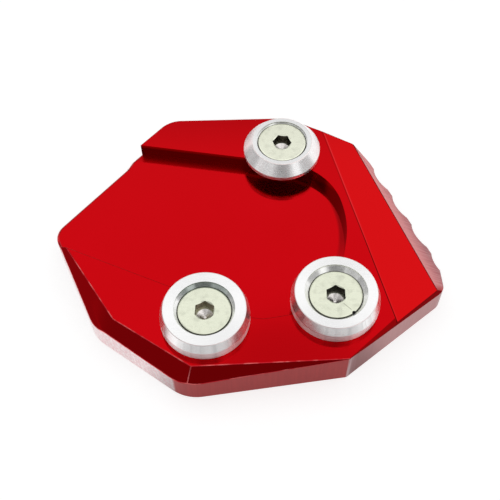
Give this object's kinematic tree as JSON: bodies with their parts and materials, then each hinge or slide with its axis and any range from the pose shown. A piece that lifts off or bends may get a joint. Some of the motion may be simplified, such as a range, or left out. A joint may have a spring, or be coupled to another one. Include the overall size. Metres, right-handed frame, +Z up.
{
  "type": "kickstand foot enlarger",
  "caption": "Milled plate that widens a motorbike side stand's foot, with a pocket for the foot and screwed clamping washers round it.",
  "frame": {"origin": "middle of the bounding box at the plate's underside, where it meets the ground", "axes": "+Z up from the ground, +X along the plate's length from the pocket's mouth towards the scalloped edge, +Y towards the edge with the single washer"},
  "size_m": [0.0882, 0.071, 0.0138],
  "materials": {
    "plate_red": "glossy red anodised",
    "washer_turned": "bright turned",
    "screw_steel": "satin stainless"
  },
  "bodies": {
    "root": {"plate": "plate_red", "washer_rear": "washer_turned", "washer_front_left": "washer_turned", "washer_front_right": "washer_turned", "screw_rear": "screw_steel", "screw_front_left": "screw_steel", "screw_front_right": "screw_steel"}
  },
  "joints": []
}
